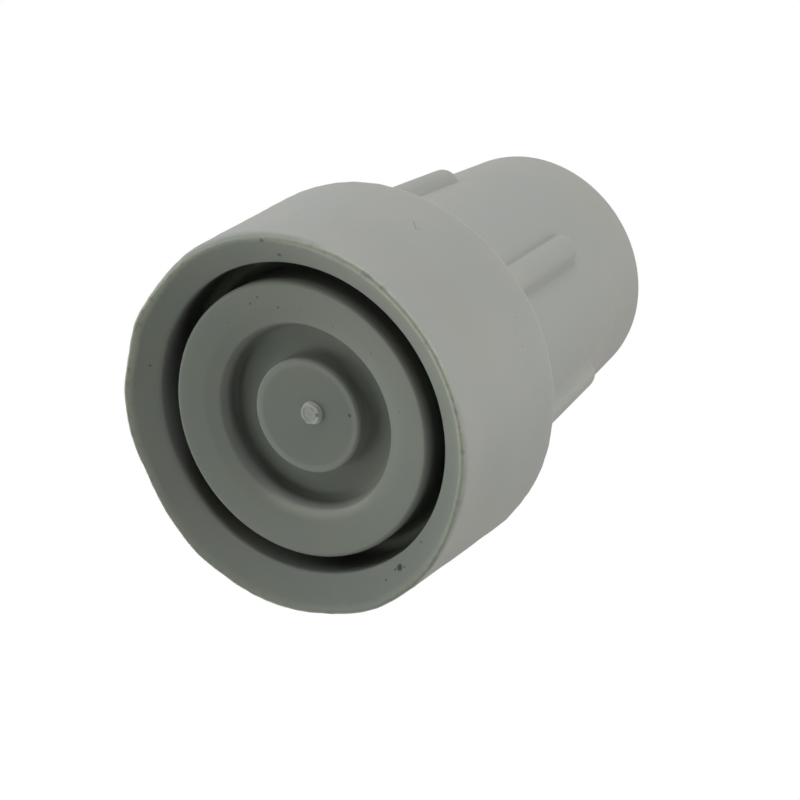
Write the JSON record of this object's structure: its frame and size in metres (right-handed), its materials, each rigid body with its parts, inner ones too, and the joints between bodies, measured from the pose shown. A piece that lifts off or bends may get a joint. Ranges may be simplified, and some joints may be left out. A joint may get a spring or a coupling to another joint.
{
  "type": "rubber cane tip",
  "caption": "One-piece rubber tip for a walking cane: a grooved round foot and a ribbed, tapered sleeve with a blind socket.",
  "frame": {"origin": "on the axis, in the plane of the land that the foot stands on", "axes": "+Z along the axis, out of the socket's mouth; +X towards the side of the axis that the mould's nib lies on"},
  "size_m": [0.038, 0.038, 0.049],
  "materials": {
    "grey_rubber": "matt, lightly soiled moulded rubber"
  },
  "bodies": {
    "root": {"cane_tip": "grey_rubber"}
  },
  "joints": []
}
